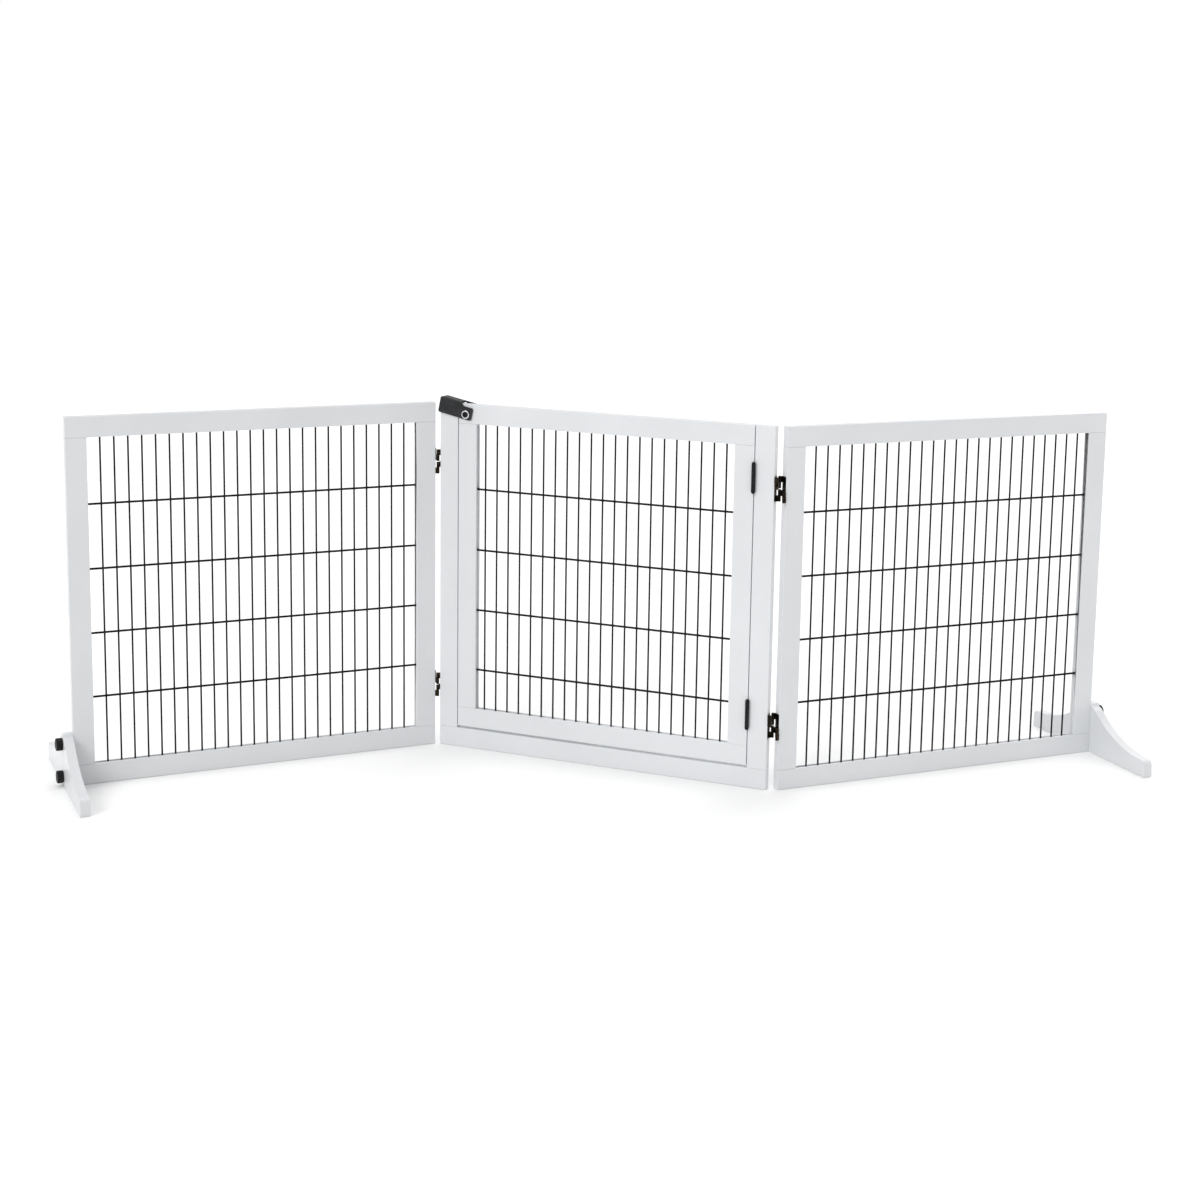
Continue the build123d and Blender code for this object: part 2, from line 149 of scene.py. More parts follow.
def add_rod(radius, start, end, vertices=32):
    """A round rod between two points."""
    deselect()
    along = end - start
    bpy.ops.mesh.primitive_cylinder_add(
        vertices=vertices,
        radius=radius,
        depth=along.length,
        location=(start + end) / 2,
        rotation=along.to_track_quat("Z", "Y").to_euler(),
    )
    return settle(bpy.context.object)


def select_faces(piece, wanted):
    """In edit mode, select just the faces that wanted accepts."""
    pick(piece)
    bpy.ops.object.mode_set(mode="EDIT")
    bpy.ops.mesh.select_mode(type="FACE")
    bpy.ops.mesh.select_all(action="DESELECT")
    bpy.ops.object.mode_set(mode="OBJECT")
    for face in piece.data.polygons:
        face.select = wanted(face)
    bpy.ops.object.mode_set(mode="EDIT")


def select_edges(piece, wanted):
    """In edit mode, select just the edges that wanted accepts by their two ends."""
    pick(piece)
    bpy.ops.object.mode_set(mode="EDIT")
    bpy.ops.mesh.select_mode(type="EDGE")
    bpy.ops.mesh.select_all(action="DESELECT")
    bpy.ops.object.mode_set(mode="OBJECT")
    vertices = piece.data.vertices
    for edge in piece.data.edges:
        edge.select = wanted(*(vertices[index].co for index in edge.vertices))
    bpy.ops.object.mode_set(mode="EDIT")


def sink(piece, side, low, high, depth):
    """Sink the rectangle between low and high into the face whose outward normal is side."""
    pick(piece)
    bpy.ops.object.mode_set(mode="EDIT")
    for normal in (X, Y, Z):
        if abs(normal.dot(side)) > 0.5:
            continue
        for corner in (low, high):
            bpy.ops.mesh.select_all(action="SELECT")
            bpy.ops.mesh.bisect(plane_co=corner, plane_no=normal)
    bpy.ops.object.mode_set(mode="OBJECT")

    def inside(face):
        if face.normal.dot(side) < SAME_WAY:
            return False
        across = [axis for axis in range(3) if abs(side[axis]) < 0.5]
        return all(low[axis] < face.center[axis] < high[axis] for axis in across)

    select_faces(piece, inside)
    bpy.ops.mesh.extrude_region_move(TRANSFORM_OT_translate={"value": -depth * side})
    bpy.ops.mesh.select_all(action="SELECT")
    bpy.ops.mesh.dissolve_limited(angle_limit=LEVEL_ANGLE)
    bpy.ops.object.mode_set(mode="OBJECT")


def apply_modifier(piece, kind, **settings):
    """Add a modifier with its settings and apply it at once."""
    pick(piece)
    modifier = piece.modifiers.new(kind.title(), kind)
    for name, value in settings.items():
        setattr(modifier, name, value)
    bpy.ops.object.modifier_apply(modifier=modifier.name)


def weigh_edges(piece, low, high, rim_share):
    """Bevel weights: whole on a board's own arrises, a share on the rims of what is cut into it."""
    mesh = piece.data
    normals = {}
    for face in mesh.polygons:
        for key in face.edge_keys:
            normals.setdefault(key, []).append(face.normal)
    weights = mesh.attributes.new("bevel_weight_edge", "FLOAT", "EDGE")
    for edge in mesh.edges:
        faces = normals.get(edge.key, [])
        if len(faces) != 2 or faces[0].dot(faces[1]) > SMOOTH_TURN:
            continue
        first, second = (mesh.vertices[index].co for index in edge.vertices)
        shared = 0
        for axis in range(3):
            for bound in (low[axis], high[axis]):
                if abs(first[axis] - bound) < ON_BOUND and abs(second[axis] - bound) < ON_BOUND:
                    shared += 1
        if shared >= 2:
            weights.data[edge.index].value = 1
        elif shared == 1:
            weights.data[edge.index].value = rim_share


def ease_board(piece, low, high, radius, rim_share=0.35):
    """Round a board's arrises as sanding and paint leave them."""
    weigh_edges(piece, low, high, rim_share)
    pick(piece)
    bpy.ops.object.shade_smooth()
    apply_modifier(
        piece, "BEVEL", width=radius, segments=3, limit_method="WEIGHT", harden_normals=True
    )


def ease(piece, radius, segments=2, angle=35):
    """Round every sharp edge of a small piece."""
    pick(piece)
    bpy.ops.object.shade_smooth()
    apply_modifier(
        piece,
        "BEVEL",
        width=radius,
        segments=segments,
        limit_method="ANGLE",
        angle_limit=radians(angle),
        harden_normals=True,
    )


def cut_with(piece, cutter):
    """Take the cutter's shape out of a piece."""
    apply_modifier(piece, "BOOLEAN", operation="DIFFERENCE", solver="EXACT", object=cutter)
    bpy.data.objects.remove(cutter)


def join(pieces):
    """Make one object of several."""
    deselect()
    for piece in pieces:
        piece.select_set(True)
    bpy.context.view_layer.objects.active = pieces[0]
    if len(pieces) > 1:
        bpy.ops.object.join()
    return bpy.context.object


def clean_copy(node, place):
    """A copy of a CAD node with its triangles merged into whole faces, in the panel's frame."""
    copy = bpy.data.objects.new(f"{node}_copy", frame["nodes"][node].data.copy())
    bpy.context.scene.collection.objects.link(copy)
    copy.data.transform(place.inverted())
    pick(copy)
    bpy.ops.mesh.customdata_custom_splitnormals_clear()
    bpy.ops.object.mode_set(mode="EDIT")
    bpy.ops.mesh.select_all(action="SELECT")
    bpy.ops.mesh.remove_doubles(threshold=MERGE_REACH)
    bpy.ops.mesh.dissolve_limited(angle_limit=FLAT_ANGLE)
    bpy.ops.object.mode_set(mode="OBJECT")
    return copy


def finish_piece(piece, name, place, body, slot, material, *replaced):
    """Name a finished piece, set it at its place and hand it to its body."""
    piece.name = name
    piece.data.name = name
    piece.data.transform(place @ piece.matrix_world)
    piece.matrix_world = Matrix.Identity(4)
    piece.data.materials.clear()
    piece.data.materials.append(material)
    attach(piece, body)
    if replaced:
        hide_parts(*replaced)
    deselect()
    return piece


# Materials

PAINT_SHADE = 0.945
GRIT_GAIN = 1.7
GRIT_LIFT = 0.002
NOISE_LOW = 0.3
NOISE_HIGH = 0.7


def material_with_nodes(name):
    """A new material with its tree and shader, or the one that is there without them."""
    material = bpy.data.materials.get(name)
    if material:
        return material, None, None
    material = bpy.data.materials.new(name)
    material.use_nodes = True
    tree = material.node_tree
    return material, tree, tree.nodes["Principled BSDF"]


def object_mapping(tree, scale=(1, 1, 1), yaw=0.0):
    """Object coordinates turned by yaw about the vertical and stretched."""
    coordinates = tree.nodes.new("ShaderNodeTexCoord")
    turn = tree.nodes.new("ShaderNodeMapping")
    turn.inputs["Rotation"].default_value = (0, 0, -yaw)
    stretch = tree.nodes.new("ShaderNodeMapping")
    stretch.inputs["Scale"].default_value = scale
    tree.links.new(coordinates.outputs["Object"], turn.inputs["Vector"])
    tree.links.new(turn.outputs["Vector"], stretch.inputs["Vector"])
    return stretch.outputs["Vector"]


def noise(tree, vector, scale, detail=2.0, roughness=0.5):
    """A noise texture's value."""
    node = tree.nodes.new("ShaderNodeTexNoise")
    node.inputs["Scale"].default_value = scale
    node.inputs["Detail"].default_value = detail
    node.inputs["Roughness"].default_value = roughness
    tree.links.new(vector, node.inputs["Vector"])
    return node.outputs["Fac"]


def ramp(tree, value, stops):
    """Colours laid over a value, as (position, colour) stops."""
    node = tree.nodes.new("ShaderNodeValToRGB")
    elements = node.color_ramp.elements
    while len(elements) < len(stops):
        elements.new(0.5)
    for element, (position, colour) in zip(elements, stops):
        element.position = position
        element.color = (*colour, 1)
    tree.links.new(value, node.inputs["Fac"])
    return node.outputs["Color"]


def span(tree, value, low, high):
    """A noise value spread between low and high."""
    node = tree.nodes.new("ShaderNodeMapRange")
    node.inputs["From Min"].default_value = NOISE_LOW
    node.inputs["From Max"].default_value = NOISE_HIGH
    node.inputs["To Min"].default_value = low
    node.inputs["To Max"].default_value = high
    tree.links.new(value, node.inputs["Value"])
    return node.outputs["Result"]


def bump(tree, height, strength, distance, under=None):
    """A bump over an optional bump below it."""
    node = tree.nodes.new("ShaderNodeBump")
    node.inputs["Strength"].default_value = strength
    node.inputs["Distance"].default_value = distance
    tree.links.new(height, node.inputs["Height"])
    if under:
        tree.links.new(under, node.inputs["Normal"])
    return node.outputs["Normal"]


def white_paint(panel, upright):
    """Satin white paint over a board whose faint grain runs along the board."""
    name = f"white_paint_{panel}_{'upright' if upright else 'level'}"
    material, tree, shader = material_with_nodes(name)
    if not tree:
        return material
    colour = bpy.context.scene.gate_colours.paint
    yaw = PLACES[panel].to_euler().z
    along = (1, 1, 0.06) if upright else (0.06, 1, 1)
    grain_space = object_mapping(tree, along, yaw)
    plain_space = object_mapping(tree)
    tone = noise(tree, plain_space, scale=7, detail=3)
    darker = [PAINT_SHADE * part for part in colour]
    tree.links.new(
        ramp(tree, tone, ((0.3, darker), (0.7, colour))), shader.inputs["Base Color"]
    )
    tree.links.new(
        span(tree, noise(tree, plain_space, scale=45, detail=4), low=0.34, high=0.46),
        shader.inputs["Roughness"],
    )
    fibres = noise(tree, grain_space, scale=420, detail=5, roughness=0.6)
    grain = bump(tree, fibres, strength=0.35, distance=0.16 * MM)
    pimples = noise(tree, plain_space, scale=1300, detail=2)
    peel = bump(tree, pimples, strength=0.22, distance=0.09 * MM, under=grain)
    tree.links.new(peel, shader.inputs["Normal"])
    shader.inputs["Coat Weight"].default_value = 0.3
    shader.inputs["Coat Roughness"].default_value = 0.12
    return material


def black_coat(name, colour, rough, grit, depth, gloss=0.16):
    """A dark coat or moulding with fine grit in it; gloss is its specular level."""
    material, tree, shader = material_with_nodes(name)
    if not tree:
        return material
    space = object_mapping(tree)
    tone = noise(tree, space, scale=60, detail=4)
    lighter = [GRIT_GAIN * part + GRIT_LIFT for part in colour]
    tree.links.new(
        ramp(tree, tone, ((0.35, colour), (0.75, lighter))), shader.inputs["Base Color"]
    )
    tree.links.new(
        span(tree, noise(tree, space, scale=140, detail=3), rough - 0.06, rough + 0.08),
        shader.inputs["Roughness"],
    )
    grains = noise(tree, space, scale=grit, detail=3, roughness=0.6)
    tree.links.new(bump(tree, grains, strength=0.5, distance=depth), shader.inputs["Normal"])
    shader.inputs["Specular IOR Level"].default_value = gloss
    return material


def metal(name, low, high, rough, grit=500, spread=(0.35, 0.68)):
    """A worn metal whose tone runs from low to high."""
    material, tree, shader = material_with_nodes(name)
    if not tree:
        return material
    space = object_mapping(tree)
    tone = noise(tree, space, scale=grit, detail=5, roughness=0.62)
    tree.links.new(
        ramp(tree, tone, ((spread[0], low), (spread[1], high))), shader.inputs["Base Color"]
    )
    tree.links.new(
        span(tree, noise(tree, space, scale=900, detail=3), rough - 0.07, rough + 0.1),
        shader.inputs["Roughness"],
    )
    scratches = noise(tree, space, scale=2600, detail=3)
    tree.links.new(
        bump(tree, scratches, strength=0.35, distance=0.03 * MM), shader.inputs["Normal"]
    )
    shader.inputs["Metallic"].default_value = 1.0
    return material


def bare_beech():
    """Unpainted beech with short flecks along the dowels."""
    material, tree, shader = material_with_nodes("bare_beech")
    if not tree:
        return material
    space = object_mapping(tree, (1, 1, 0.1))
    tone = noise(tree, space, scale=700, detail=6, roughness=0.65)
    stops = ((0.3, (0.42, 0.26, 0.13)), (0.7, (0.68, 0.48, 0.28)))
    tree.links.new(ramp(tree, tone, stops), shader.inputs["Base Color"])
    tree.links.new(bump(tree, tone, strength=0.4, distance=0.05 * MM), shader.inputs["Normal"])
    shader.inputs["Roughness"].default_value = 0.6
    return material


def wire_coat():
    """Smooth coating on the mesh wires."""
    colour = bpy.context.scene.gate_colours.wire
    return black_coat("wire_coat", colour, rough=0.4, grit=2400, depth=0.04 * MM)


def hinge_black():
    """Black plating on the door's hinges and bolt."""
    colour = (0.006, 0.006, 0.007)
    return black_coat("hinge_black", colour, rough=0.36, grit=1800, depth=0.03 * MM)


def knob_plastic():
    """Moulded black plastic of the foot knobs."""
    colour = (0.006, 0.006, 0.0065)
    return black_coat("knob_plastic", colour, rough=0.42, grit=1500, depth=0.05 * MM)


def latch_plastic():
    """Finely textured dark plastic of the latch."""
    colour = bpy.context.scene.gate_colours.latch
    return black_coat("latch_plastic", colour, rough=0.48, grit=1700, depth=0.09 * MM)


def antique_bronze():
    """Dark bronze with brown glints on the two-way hinges."""
    dark = (0.01, 0.008, 0.006)
    glint = (0.2, 0.13, 0.06)
    return metal("antique_bronze", dark, glint, rough=0.3, grit=420, spread=(0.52, 0.8))


def satin_silver():
    """Bright ring round the latch bolt."""
    return metal("satin_silver", (0.66, 0.66, 0.67), (0.84, 0.84, 0.85), rough=0.24)


def zinc_plate():
    """Plating on the knob studs."""
    return metal("zinc_plate", (0.5, 0.5, 0.52), (0.72, 0.72, 0.74), rough=0.32)


def bare_brass():
    """Brass of the threaded inserts."""
    return metal("bare_brass", (0.55, 0.38, 0.14), (0.8, 0.6, 0.28), rough=0.3)


# Properties


class GateSizes(bpy.types.PropertyGroup):
    """Sizes that shape the look and don't move a joint."""

    edge_round: bpy.props.FloatProperty(
        name="Edge round",
        description="Radius of the sanded arrises of the boards",
        default=0.9 * MM,
        unit="LENGTH",
    )
    foot_edge_round: bpy.props.FloatProperty(
        name="Foot edge round",
        description="Radius of the arrises of the feet",
        default=1.4 * MM,
        unit="LENGTH",
    )
    groove_width: bpy.props.FloatProperty(
        name="Groove width",
        description="Width of the groove that takes the wire mesh",
        default=6.8 * MM,
        unit="LENGTH",
    )
    groove_depth: bpy.props.FloatProperty(
        name="Groove depth",
        description="Depth of the groove that takes the wire mesh",
        default=4.0 * MM,
        unit="LENGTH",
    )
    upright_wire_radius: bpy.props.FloatProperty(
        name="Upright wire radius",
        description="Radius of the mesh's upright wires",
        default=1.5 * MM,
        unit="LENGTH",
    )
    level_wire_radius: bpy.props.FloatProperty(
        name="Level wire radius",
        description="Radius of the mesh's level wires",
        default=1.8 * MM,
        unit="LENGTH",
    )
    weld_radius: bpy.props.FloatProperty(
        name="Weld radius",
        description="Radius of the weld at each crossing of two wires",
        default=2.0 * MM,
        unit="LENGTH",
    )


class GateColours(bpy.types.PropertyGroup):
    """Colours of the gate's finishes."""

    paint: bpy.props.FloatVectorProperty(
        name="Paint",
        description="Colour of the painted boards",
        subtype="COLOR",
        default=(0.674, 0.688, 0.705),
    )
    wire: bpy.props.FloatVectorProperty(
        name="Wire",
        description="Colour of the coated wire",
        subtype="COLOR",
        default=(0.002, 0.002, 0.0022),
    )
    latch: bpy.props.FloatVectorProperty(
        name="Latch",
        description="Colour of the moulded latch",
        subtype="COLOR",
        default=(0.02, 0.0205, 0.022),
    )


# Boards

POCKET_HEIGHTS = (108 * MM, 506.5 * MM)
POCKET_LENGTH = 42 * MM
POCKET_WIDTH = 12 * MM
POCKET_DEPTH = 1.6 * MM
SEAT_LENGTH = 46 * MM
SEAT_DEPTH = 0.9 * MM
GROOVE_END = 1 * MM


def board_front(board):
    """The y of a board's front face."""
    return min(vertex.co.y for vertex in board.data.vertices)


def cut_leaf_seats(board, face, into):
    """Shallow seats for the door hinges' leaves in an edge face, open at the board's front."""
    leaves_low, leaves_high = local_box("door_hinge_door_leaves", MIDDLE)
    front = board_front(board) - CUT_SPARE
    for bottom in (leaves_low.z, leaves_high.z - SEAT_LENGTH):
        low = Vector((min(face, face + into * SEAT_DEPTH), front, bottom))
        high = Vector((max(face, face + into * SEAT_DEPTH), leaves_high.y, bottom + SEAT_LENGTH))
        if into > 0:
            low.x -= CUT_SPARE
        else:
            high.x += CUT_SPARE
        cut_with(board, add_block(low, high))


def make_board(
    node, panel, upright, groove_side=None, groove_span=None, pocket_side=None, seat_side=None
):
    """One painted board, with its mesh groove, its hinge pockets and its hinge seats."""
    sizes = bpy.context.scene.gate_sizes
    place = PLACES[panel]
    low, high = local_box(node, place)
    board = add_block(low, high)
    if groove_side is not None:
        half = sizes.groove_width / 2
        start, end = groove_span
        if upright:
            corners = Vector((low.x, -half, start)), Vector((high.x, half, end))
        else:
            corners = Vector((start, -half, low.z)), Vector((end, half, high.z))
        sink(board, groove_side, *corners, sizes.groove_depth)
    if pocket_side is not None:
        for height in POCKET_HEIGHTS:
            first = Vector((low.x, -POCKET_WIDTH / 2, height - POCKET_LENGTH / 2))
            last = Vector((high.x, POCKET_WIDTH / 2, height + POCKET_LENGTH / 2))
            sink(board, pocket_side, first, last, POCKET_DEPTH)
    if seat_side is not None:
        cut_leaf_seats(board, high.x if seat_side.x > 0 else low.x, -seat_side.x)
    ease_board(board, low, high, sizes.edge_round)
    return finish_piece(
        board,
        f"{node}_board",
        place,
        BODIES[panel],
        "white_board",
        white_paint(panel, upright),
        node,
    )


def make_framed_boards(panel, stiles, pocket_stile=None):
    """Two rails with two stiles between them, grooved for a mesh."""
    place = PLACES[panel]
    left_low, left_high = local_box(f"{panel}_{stiles[0]}", place)
    right_low, _ = local_box(f"{panel}_{stiles[1]}", place)
    level_span = (left_high.x, right_low.x)
    upright_span = (left_low.z + GROOVE_END, left_high.z - GROOVE_END)
    make_board(f"{panel}_top_rail", panel, False, -Z, level_span)
    make_board(f"{panel}_bottom_rail", panel, False, Z, level_span)
    for stile, inward in zip(stiles, (X, -X)):
        pocket_side = -inward if stile == pocket_stile else None
        seat_side = X if stile == "hinge_stile" else None
        make_board(f"{panel}_{stile}", panel, True, inward, upright_span, pocket_side, seat_side)


class GATE_OT_boards(bpy.types.Operator):
    """Model the painted boards of all panels and of the door"""

    bl_idname = "pet_gate.boards"
    bl_label = "Boards"

    def execute(self, context):
        for panel in ("left", "right"):
            make_framed_boards(panel, OUTER_STILES[panel], "joint_stile")
        make_framed_boards("door", ("latch_stile", "hinge_stile"))
        make_board("middle_sill", "middle", False)
        make_board("middle_latch_stile", "middle", True, pocket_side=-X)
        make_board("middle_hinge_stile", "middle", True, pocket_side=X, seat_side=-X)
        return {"FINISHED"}


# Feet

FOOT_TIP_HEIGHT = 29 * MM
FOOT_TIP_RADIUS = 10 * MM
FOOT_SWEEP_RADIUS = 210 * MM
FOOT_SHOULDER = 17 * MM
FOOT_CROWN_HALF = 8 * MM
TIP_STEPS = 8
SWEEP_STEPS = 22
SHOULDER_STEPS = 6
STUD_SLACK = 0.4 * MM


def foot_top_line(half, height):
    """Half of a foot's top line from the toe to the crown's middle, as (distance, height)."""
    sweep_start = half - FOOT_TIP_RADIUS
    sweep_centre = FOOT_TIP_HEIGHT + FOOT_SWEEP_RADIUS
    points = []
    for step in range(TIP_STEPS + 1):
        turn = step / TIP_STEPS * pi / 2
        points.append(
            (
                sweep_start + FOOT_TIP_RADIUS * cos(turn),
                FOOT_TIP_HEIGHT - FOOT_TIP_RADIUS * (1 - sin(turn)),
            )
        )
    for step in range(1, SWEEP_STEPS + 1):
        distance = sweep_start + (FOOT_SHOULDER - sweep_start) * step / SWEEP_STEPS
        rise = sqrt(FOOT_SWEEP_RADIUS**2 - (sweep_start - distance) ** 2)
        points.append((distance, sweep_centre - rise))
    shoulder_height = points[-1][1]
    for step in range(1, SHOULDER_STEPS + 1):
        turn = step / SHOULDER_STEPS * pi / 2
        points.append(
            (
                FOOT_CROWN_HALF + (FOOT_SHOULDER - FOOT_CROWN_HALF) * (1 - sin(turn)),
                shoulder_height + (height - shoulder_height) * (1 - cos(turn)),
            )
        )
    points.append((0, height))
    return points


def make_foot(side):
    """A foot board drawn as a ribbon of faces under its top line, then given its thickness."""
    node = f"{side}_foot"
    place = PLACES[side]
    low, high = local_box(node, place)
    half_line = foot_top_line((high.y - low.y) / 2, high.z)
    line = [(-distance, height) for distance, height in half_line]
    line += [(distance, height) for distance, height in reversed(half_line[:-1])]
    deselect()
    bpy.ops.mesh.primitive_grid_add(
        x_subdivisions=1, y_subdivisions=len(line) - 1, size=1, rotation=(0, pi / 2, 0)
    )
    foot = settle(bpy.context.object)
    vertices = foot.data.vertices
    ordered = sorted(vertices, key=lambda vertex: (round(vertex.co.y, 5), vertex.co.z))
    for index, vertex in enumerate(ordered):
        distance, height = line[index // 2]
        vertex.co = (low.x, distance, height if index % 2 else 0)
    pick(foot)
    bpy.ops.object.mode_set(mode="EDIT")
    bpy.ops.mesh.select_all(action="SELECT")
    bpy.ops.mesh.dissolve_limited(angle_limit=FLAT_ANGLE)
    bpy.ops.mesh.select_all(action="SELECT")
    bpy.ops.mesh.extrude_region_move(TRANSFORM_OT_translate={"value": (high.x - low.x, 0, 0)})
    bpy.ops.mesh.select_all(action="SELECT")
    bpy.ops.mesh.normals_make_consistent(inside=False)
    bpy.ops.object.mode_set(mode="OBJECT")
    for knob in ("upper", "lower"):
        stud_low, stud_high = local_box(f"{side}_{knob}_knob_stud", place)
        height = (stud_low.z + stud_high.z) / 2
        radius = (stud_high.z - stud_low.z) / 2 + STUD_SLACK
        start = Vector((low.x - CUT_SPARE, 0, height))
        end = Vector((high.x + CUT_SPARE, 0, height))
        cut_with(foot, add_rod(radius, start, end))
    ease(foot, bpy.context.scene.gate_sizes.foot_edge_round, segments=3, angle=40)
    return finish_piece(
        foot, f"{side}_foot_board", place, BODIES[side], "white_board",
        white_paint(side, False), node,
    )


class GATE_OT_feet(bpy.types.Operator):
    """Model the two feet"""

    bl_idname = "pet_gate.feet"
    bl_label = "Feet"

    def execute(self, context):
        for side in ("left", "right"):
            make_foot(side)
        return {"FINISHED"}


# Foot knobs

KNOB_LOBES = 16
KNOB_FLUTE = 0.45 * MM
KNOB_EDGE = 1.9 * MM
KNOB_STEPS_PER_LOBE = 6
KNOB_RIM = 2.4 * MM
KNOB_DISH_SLOPE = 0.6 * MM
KNOB_DISH_DEPTH = 0.5 * MM
KNOB_SKIN = 0.1 * MM


def make_knob(side, level):
    """A fluted knob with a shallow dished face."""
    node = f"{side}_{level}_knob"
    place = PLACES[side]
    low, high = local_box(node, place)
    middle = (low + high) / 2
    radius = (high.z - low.z) / 2
    out = -1 if side == "left" else 1
    inner = Vector((low.x if out > 0 else high.x, middle.y, middle.z))
    outer = Vector((high.x if out > 0 else low.x, middle.y, middle.z))
    knob = add_rod(radius, inner, outer, KNOB_LOBES * KNOB_STEPS_PER_LOBE)
    select_faces(knob, lambda face: face.normal.x * out > SAME_WAY)
    bpy.ops.mesh.inset(thickness=KNOB_RIM)
    bpy.ops.mesh.inset(thickness=KNOB_DISH_SLOPE, depth=-KNOB_DISH_DEPTH)
    bpy.ops.object.mode_set(mode="OBJECT")
    for vertex in knob.data.vertices:
        spoke = Vector((0, vertex.co.y - middle.y, vertex.co.z - middle.z))
        if spoke.length > radius - KNOB_SKIN:
            wave = (1 - cos(KNOB_LOBES * atan2(spoke.z, spoke.y))) / 2
            vertex.co -= spoke.normalized() * KNOB_FLUTE * wave
    ease(knob, KNOB_EDGE, segments=4, angle=50)
    return finish_piece(
        knob, f"{node}_grip", place, f"{side}_{level}_foot_knob", "black_knob",
        knob_plastic(), node,
    )


class GATE_OT_knobs(bpy.types.Operator):
    """Model the four foot knobs"""

    bl_idname = "pet_gate.knobs"
    bl_label = "Foot knobs"

    def execute(self, context):
        for side in ("left", "right"):
            for level in ("upper", "lower"):
                make_knob(side, level)
        return {"FINISHED"}


# Wire meshes

# Each mesh's number of upright wires, their pitch, and the height of its lowest level wire
MESHES = {
    "left": (24, 22.2 * MM, 145 * MM),
    "right": (24, 22.2 * MM, 145 * MM),
    "door": (21, 21.9 * MM, 141 * MM),
}
ROW_COUNT = 4
ROW_PITCH = 107 * MM
WIRE_SIDES = 20
WELD_SEGMENTS = 10
WELD_RINGS = 6


def repeat(piece, count, step):
    """Copy a piece along a line."""
    apply_modifier(
        piece,
        "ARRAY",
        count=count,
        use_relative_offset=False,
        use_constant_offset=True,
        constant_offset_displace=step,
    )


def make_mesh(panel):
    """Upright wires in front, level wires behind, and a weld where they cross."""
    sizes = bpy.context.scene.gate_sizes
    node = f"{panel}_wire_mesh"
    place = PLACES[panel]
    low, high = local_box(node, place)
    count, pitch, first_row = MESHES[panel]
    upright_y = low.y + sizes.upright_wire_radius
    level_y = high.y - sizes.level_wire_radius
    weld_y = (upright_y + sizes.upright_wire_radius + level_y - sizes.level_wire_radius) / 2
    middle = (low.x + high.x) / 2
    first = middle - (count - 1) * pitch / 2
    upright = add_rod(
        sizes.upright_wire_radius,
        Vector((first, upright_y, low.z)),
        Vector((first, upright_y, high.z)),
        WIRE_SIDES,
    )
    repeat(upright, count, (pitch, 0, 0))
    level = add_rod(
        sizes.level_wire_radius,
        Vector((low.x, level_y, first_row)),
        Vector((high.x, level_y, first_row)),
        WIRE_SIDES,
    )
    repeat(level, ROW_COUNT, (0, 0, ROW_PITCH))
    deselect()
    bpy.ops.mesh.primitive_uv_sphere_add(
        segments=WELD_SEGMENTS,
        ring_count=WELD_RINGS,
        radius=sizes.weld_radius,
        location=(first, weld_y, first_row),
    )
    weld = settle(bpy.context.object)
    repeat(weld, count, (pitch, 0, 0))
    repeat(weld, ROW_COUNT, (0, 0, ROW_PITCH))
    mesh = join([upright, level, weld])
    bpy.ops.object.shade_smooth_by_angle(angle=radians(40))
    return finish_piece(
        mesh, f"{node}_wires", place, BODIES[panel], "black_wire", wire_coat(), node
    )


class GATE_OT_wire_meshes(bpy.types.Operator):
    """Model the three welded wire meshes"""

    bl_idname = "pet_gate.wire_meshes"
    bl_label = "Wire meshes"

    def execute(self, context):
        for panel in MESHES:
            make_mesh(panel)
        return {"FINISHED"}


# Hinges

DOOR_HINGE_EDGE = 0.25 * MM
FOLD_HINGE_EDGE = 0.2 * MM


def make_eased(node, suffix, panel, body, slot, material, radius, segments=2):
    """A piece that keeps its CAD form and gets rounded edges."""
    place = PLACES[panel]
    piece = clean_copy(node, place)
    ease(piece, radius, segments)
    return finish_piece(piece, f"{node}_{suffix}", place, body, slot, material, node)


class GATE_OT_door_hinges(bpy.types.Operator):
    """Model the door's two butt hinges"""

    bl_idname = "pet_gate.door_hinges"
    bl_label = "Door hinges"

    def execute(self, context):
        for part, body in (
            ("frame_leaves", "middle_frame"),
            ("door_leaves", "door"),
            ("pins", "middle_frame"),
        ):
            make_eased(
                f"door_hinge_{part}", "eased", "middle", body, "black_hinge", hinge_black(),
                DOOR_HINGE_EDGE,
            )
        return {"FINISHED"}


class GATE_OT_fold_hinges(bpy.types.Operator):
    """Model the two-way hinges between the panels"""

    bl_idname = "pet_gate.fold_hinges"
    bl_label = "Fold hinges"

    def execute(self, context):
        for side, turning, still in (("left", "upper", "lower"), ("right", "lower", "upper")):
            for part, body in (
                ("frame_leaves", "middle_frame"),
                ("frame_pins", "middle_frame"),
                (f"{still}_links", "middle_frame"),
                ("panel_leaves", f"{side}_panel"),
                ("panel_pins", f"{side}_panel"),
                (f"{turning}_links", f"{side}_panel"),
            ):
                make_eased(
                    f"{side}_fold_{part}", "eased", "middle", body, "bronze_hinge",
                    antique_bronze(), FOLD_HINGE_EDGE,
                )
        return {"FINISHED"}


# Latch

LATCH_EDGE = 0.6 * MM
LATCH_BEND = 2.8 * MM
LATCH_BEND_STEPS = 5
LATCH_TILT = radians(11.5)
SOCKET_RADIUS = 2.1 * MM
SOCKET_DEPTH = 1.6 * MM
SOCKET_SIDES = 6
RING_EDGE = 0.6 * MM
NUT_EDGE = 0.5 * MM
BOLT_EDGE = 0.25 * MM


